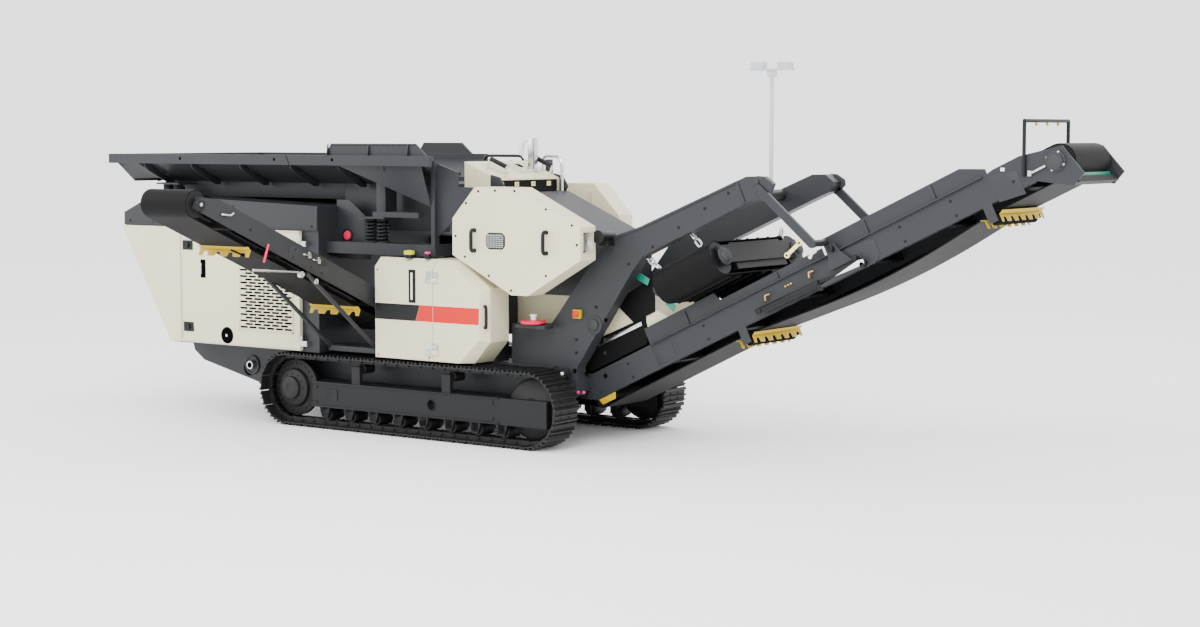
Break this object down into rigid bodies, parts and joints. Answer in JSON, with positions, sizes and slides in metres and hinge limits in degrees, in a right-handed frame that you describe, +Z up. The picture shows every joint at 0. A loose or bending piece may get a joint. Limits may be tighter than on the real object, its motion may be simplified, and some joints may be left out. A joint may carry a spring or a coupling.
{
  "type": "tracked mobile jaw crushing plant",
  "caption": "Tracked jaw crushing plant with feed hopper, guarded jaw crusher, inclined discharge conveyor with overband magnet, side conveyor and light mast.",
  "frame": {"origin": "middle of the whole machine's footprint, at ground level under the tracks", "axes": "+X along the machine towards the discharge conveyor's head, +Y to the far side away from the side conveyor, +Z up"},
  "size_m": [12.2206, 5.2699, 4.12],
  "materials": {
    "dark_paint": "satin",
    "black_paint": "satin",
    "cream_paint": "satin",
    "yellow_paint": "satin",
    "track_steel": "rough",
    "track_paint": "satin",
    "cast_iron": "rough",
    "black_rubber": "matte",
    "drum_steel": "brushed",
    "zinc_steel": "brushed",
    "aluminium": "satin"
  },
  "bodies": {
    "machine": {"belt_guards": "yellow_paint", "boot_skirts": "black_rubber", "cabinet": "cream_paint", "chassis": "dark_paint", "conveyor_belt": "black_rubber", "conveyor_rollers": "drum_steel", "conveyor_side_far": "dark_paint", "conveyor_side_near": "dark_paint", "crusher_body": "dark_paint", "crusher_hood": "cream_paint", "discharge_boot": "cream_paint", "door_hinges": "zinc_steel", "engine_cover": "dark_paint", "engine_housing": "dark_paint", "engine_panels": "cream_paint", "feeder_pan": "dark_paint", "feeder_springs": "black_paint", "feeder_supports": "dark_paint", "flywheels": "cast_iron", "fold_cylinders": "black_paint", "guard_far": "cream_paint", "guard_near": "cream_paint", "hanger_links": "dark_paint", "hopper_rim": "dark_paint", "hopper_wall_far": "dark_paint", "hopper_wall_near": "dark_paint", "hopper_wall_rear": "dark_paint", "lifting_frame_far": "dark_paint", "lifting_frame_near": "dark_paint", "lifting_tie": "dark_paint", "magnet": "black_paint", "magnet_belt": "black_rubber", "magnet_chains": "zinc_steel", "mast_socket": "dark_paint", "side_belt": "black_rubber", "side_conveyor_frame": "dark_paint", "side_struts": "dark_paint", "side_tail_drum": "drum_steel", "spray_hoop": "black_paint", "track_frame_far": "track_paint", "track_frame_near": "track_paint", "track_shoes_far": "track_steel", "track_shoes_near": "track_steel", "track_wheels_far": "track_steel", "track_wheels_near": "track_steel"},
    "engine_door": {"engine_door": "cream_paint"},
    "cabinet_door": {"cabinet_door": "cream_paint"},
    "head_drum": {"head_drum": "drum_steel"},
    "side_head_drum": {"side_head_drum": "drum_steel"},
    "mast": {"mast_pole": "zinc_steel", "lamp_head": "aluminium"}
  },
  "joints": [
    {"name": "engine_door_hinge", "type": "hinge", "parent": "machine", "child": "engine_door", "pos_m": [-2.99532, 0.069, 1.56], "axis": [0, 0, 1], "range_deg": [0, 90]},
    {"name": "cabinet_door_hinge", "type": "hinge", "parent": "machine", "child": "cabinet_door", "pos_m": [-1.07232, 0.091, 1.4], "axis": [0, 0, -1], "range_deg": [0, 110]},
    {"name": "head_drum_spin", "type": "hinge", "parent": "machine", "child": "head_drum", "pos_m": [5.82898, 1.325, 3.09679], "axis": [0, 1, 0], "continuous": true},
    {"name": "side_drum_spin", "type": "hinge", "parent": "machine", "child": "side_head_drum", "pos_m": [-2.33032, -2.485, 2.634], "axis": [1, 0, 0], "continuous": true},
    {"name": "mast_slide", "type": "slide", "parent": "machine", "child": "mast", "axis": [0, 0, 1], "range_m": [-1.1, 0]}
  ]
}
